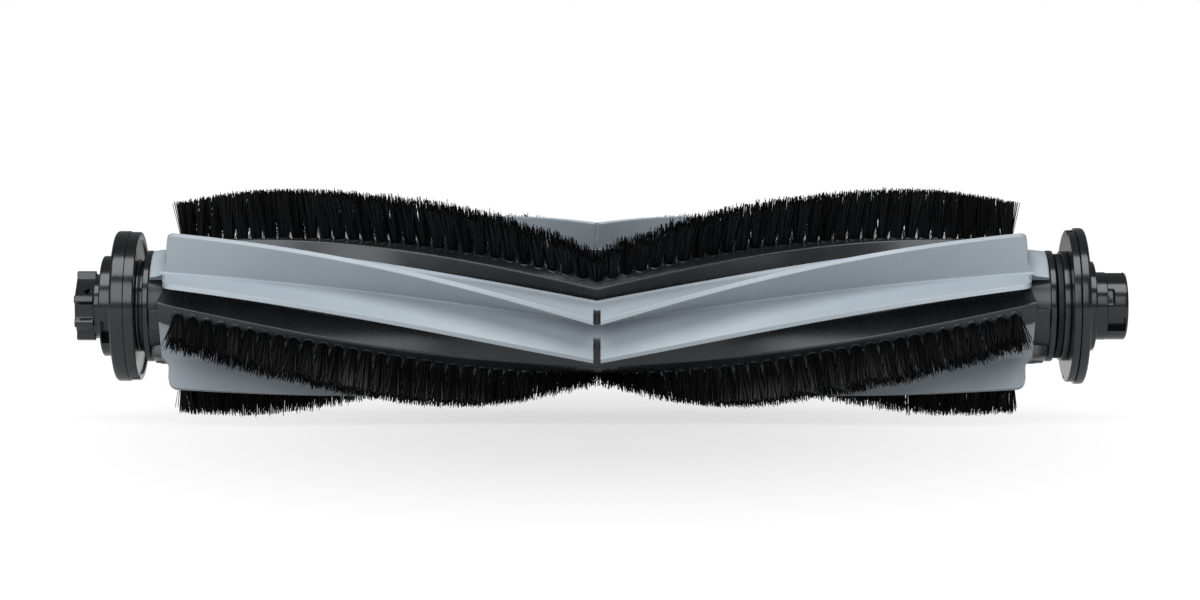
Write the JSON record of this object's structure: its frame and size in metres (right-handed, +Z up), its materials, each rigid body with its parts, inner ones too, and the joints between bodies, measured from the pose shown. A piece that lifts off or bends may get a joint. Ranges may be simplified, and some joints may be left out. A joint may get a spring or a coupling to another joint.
{
  "type": "vacuum roller brush",
  "caption": "Roller brush of a robot vacuum with chevron bristle rows, grey rubber lips, a toothed drive end and a free-turning bearing cap.",
  "frame": {"origin": "on the floor under the middle of the part's box as it lies on its bristles", "axes": "+X along the roller towards the bearing end, +Z up; the pictured side faces -Y"},
  "size_m": [0.1742, 0.0378, 0.0393],
  "materials": {
    "black_plastic": "satin black moulded core",
    "end_plastic": "semi-gloss black",
    "bristle": "black nylon filament",
    "grey_rubber": "matt bluish grey elastomer",
    "seal_rubber": "matt grey",
    "steel": "turned",
    "bronze": "sintered"
  },
  "bodies": {
    "roller": {"core_spindle": "black_plastic", "bristle_row_1_drive": "bristle", "bristle_row_1_bearing": "bristle", "bristle_row_2_drive": "bristle", "bristle_row_2_bearing": "bristle", "bristle_row_3_drive": "bristle", "bristle_row_3_bearing": "bristle", "bristle_row_4_drive": "bristle", "bristle_row_4_bearing": "bristle", "rubber_strip_1": "grey_rubber", "rubber_strip_2": "grey_rubber", "rubber_strip_3": "grey_rubber", "rubber_strip_4": "grey_rubber", "drive_ring": "end_plastic", "drive_cup": "end_plastic", "drive_disc": "end_plastic", "drive_collar": "end_plastic", "drive_hub": "end_plastic", "bearing_ring": "end_plastic", "hub_screw": "steel", "axle_pin": "steel", "axle_washer": "steel", "axle_clip": "steel"},
    "bearing_cap": {"bearing_seal": "seal_rubber", "bearing_collar": "end_plastic", "bearing_disc_inner": "end_plastic", "bearing_disc_outer": "end_plastic", "bearing_flange": "end_plastic", "bearing_sleeve": "end_plastic", "bearing_nose": "end_plastic", "bearing_bush": "bronze"}
  },
  "joints": [
    {"name": "cap_spin", "type": "hinge", "parent": "roller", "child": "bearing_cap", "pos_m": [0.08038, -0.00085, 0.0191], "axis": [1, 0, 0], "continuous": true}
  ]
}
